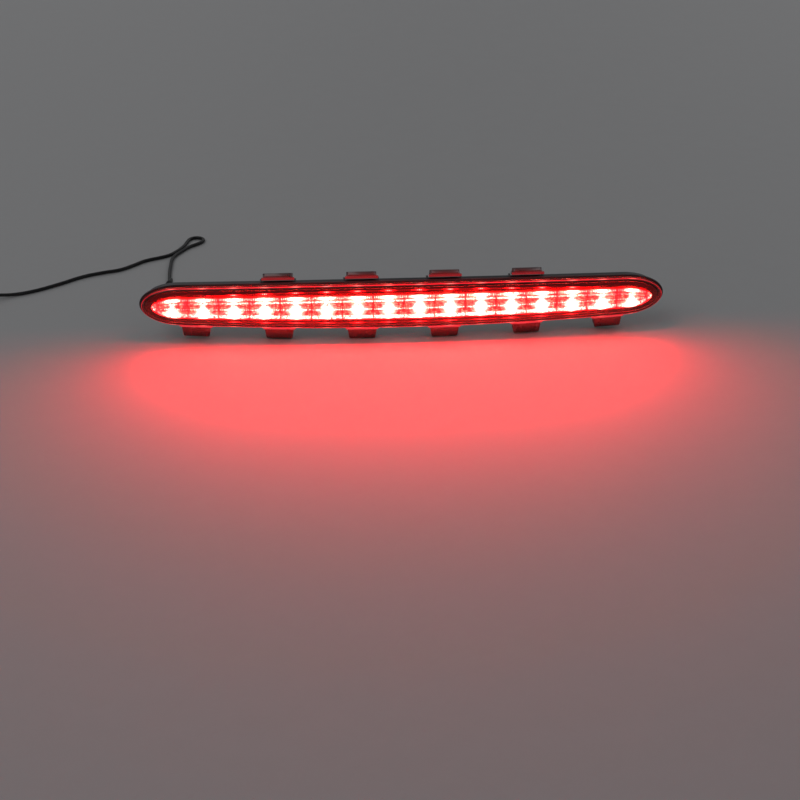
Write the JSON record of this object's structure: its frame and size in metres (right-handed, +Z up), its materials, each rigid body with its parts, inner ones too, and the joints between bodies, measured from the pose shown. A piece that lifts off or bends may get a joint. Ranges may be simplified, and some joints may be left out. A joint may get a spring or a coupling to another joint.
{
  "type": "third brake light",
  "caption": "Long shallow red brake lamp with rounded ends, bowed lens, diode cells behind it, spring clips above and below, and a thin black lead to a plug.",
  "frame": {"origin": "on the ground under the middle of the lamp, its lead and plug left out", "axes": "+X along the lamp to its right end, lens looking towards -Y, +Z up"},
  "size_m": [0.4829, 0.1916, 0.0456],
  "materials": {
    "lens_red": "polished moulded red lens, glowing from behind",
    "optic_red": "fluted inner lens",
    "reflector_chrome": "vacuum-metallised, bright",
    "board_green": "solder-resist coated board",
    "led_glow": "clear diode dome, lit",
    "housing_black": "fine-grained moulded plastic",
    "clip_smoke": "smoke-red moulded plastic",
    "gasket_foam": "closed-cell foam",
    "boot_rubber": "moulded rubber",
    "lead_sheath": "satin black sheath",
    "seal_rubber": "moulded silicone",
    "connector_black": "moulded plastic, satin",
    "terminal_brass": "tinned brass blade",
    "screw_steel": "zinc-plated",
    "resistor_blue": "lacquered",
    "diode_black": "moulded epoxy",
    "core_red": "insulated core",
    "core_black": "insulated core"
  },
  "bodies": {
    "lamp": {"outer_lens": "lens_red", "rear_housing": "housing_black", "flange_gasket": "gasket_foam", "inner_optic": "optic_red", "reflector": "reflector_chrome", "led_board": "board_green", "led_01": "led_glow", "led_02": "led_glow", "led_03": "led_glow", "led_04": "led_glow", "led_05": "led_glow", "led_06": "led_glow", "led_07": "led_glow", "led_08": "led_glow", "led_09": "led_glow", "led_10": "led_glow", "led_11": "led_glow", "led_12": "led_glow", "led_13": "led_glow", "led_14": "led_glow", "led_15": "led_glow", "led_16": "led_glow", "board_screw_1": "screw_steel", "board_screw_2": "screw_steel", "board_screw_3": "screw_steel", "board_screw_4": "screw_steel", "resistor_1": "resistor_blue", "resistor_2": "resistor_blue", "resistor_3": "resistor_blue", "resistor_4": "resistor_blue", "guard_diode": "diode_black", "inner_wire_1": "core_red", "inner_wire_2": "core_black", "lead_boot": "boot_rubber", "lead": "lead_sheath", "wire_seal": "seal_rubber", "connector_housing": "connector_black", "terminal_1": "terminal_brass", "terminal_2": "terminal_brass"},
    "lower_clip_1": {"lower_clip_1": "clip_smoke"},
    "lower_clip_2": {"lower_clip_2": "clip_smoke"},
    "lower_clip_3": {"lower_clip_3": "clip_smoke"},
    "lower_clip_4": {"lower_clip_4": "clip_smoke"},
    "lower_clip_5": {"lower_clip_5": "clip_smoke"},
    "lower_clip_6": {"lower_clip_6": "clip_smoke"},
    "upper_clip_1": {"upper_clip_1": "clip_smoke"},
    "upper_clip_2": {"upper_clip_2": "clip_smoke"},
    "upper_clip_3": {"upper_clip_3": "clip_smoke"},
    "upper_clip_4": {"upper_clip_4": "clip_smoke"},
    "lock_lever": {"lock_lever": "connector_black"}
  },
  "joints": [
    {"name": "lower_clip_1_flex", "type": "hinge", "parent": "lamp", "child": "lower_clip_1", "pos_m": [-0.136, 0.01057, 0.01511], "axis": [0.9961, -0.0834, -0.0278], "range_deg": [-8, 0], "stiffness_Nm_per_rad": 0.6},
    {"name": "lower_clip_2_flex", "type": "hinge", "parent": "lamp", "child": "lower_clip_2", "pos_m": [-0.0816, 0.00693, 0.0139], "axis": [0.9986, -0.0501, -0.0167], "range_deg": [-8, 0], "stiffness_Nm_per_rad": 0.6},
    {"name": "lower_clip_3_flex", "type": "hinge", "parent": "lamp", "child": "lower_clip_3", "pos_m": [-0.0272, 0.00511, 0.01329], "axis": [0.9998, -0.0167, -0.0056], "range_deg": [-8, 0], "stiffness_Nm_per_rad": 0.6},
    {"name": "lower_clip_4_flex", "type": "hinge", "parent": "lamp", "child": "lower_clip_4", "pos_m": [0.0272, 0.00511, 0.01329], "axis": [0.9998, 0.0167, 0.0056], "range_deg": [-8, 0], "stiffness_Nm_per_rad": 0.6},
    {"name": "lower_clip_5_flex", "type": "hinge", "parent": "lamp", "child": "lower_clip_5", "pos_m": [0.0816, 0.00693, 0.0139], "axis": [0.9986, 0.0501, 0.0167], "range_deg": [-8, 0], "stiffness_Nm_per_rad": 0.6},
    {"name": "lower_clip_6_flex", "type": "hinge", "parent": "lamp", "child": "lower_clip_6", "pos_m": [0.136, 0.01057, 0.01511], "axis": [0.9961, 0.0834, 0.0278], "range_deg": [-8, 0], "stiffness_Nm_per_rad": 0.6},
    {"name": "upper_clip_1_flex", "type": "hinge", "parent": "lamp", "child": "upper_clip_1", "pos_m": [-0.0816, 0.00693, 0.03823], "axis": [0.9986, -0.0501, 0.0167], "range_deg": [0, 8], "stiffness_Nm_per_rad": 0.6},
    {"name": "upper_clip_2_flex", "type": "hinge", "parent": "lamp", "child": "upper_clip_2", "pos_m": [-0.0272, 0.00511, 0.03884], "axis": [0.9998, -0.0167, 0.0056], "range_deg": [0, 8], "stiffness_Nm_per_rad": 0.6},
    {"name": "upper_clip_3_flex", "type": "hinge", "parent": "lamp", "child": "upper_clip_3", "pos_m": [0.0272, 0.00511, 0.03884], "axis": [0.9998, 0.0167, -0.0056], "range_deg": [0, 8], "stiffness_Nm_per_rad": 0.6},
    {"name": "upper_clip_4_flex", "type": "hinge", "parent": "lamp", "child": "upper_clip_4", "pos_m": [0.0816, 0.00693, 0.03823], "axis": [0.9986, 0.0501, -0.0167], "range_deg": [0, 8], "stiffness_Nm_per_rad": 0.6},
    {"name": "lock_lever_rock", "type": "hinge", "parent": "lamp", "child": "lock_lever", "pos_m": [-0.29918, 0.06434, 0.0083], "axis": [0.3162, -0.9487, 0], "range_deg": [-6, 0], "stiffness_Nm_per_rad": 0.02}
  ]
}
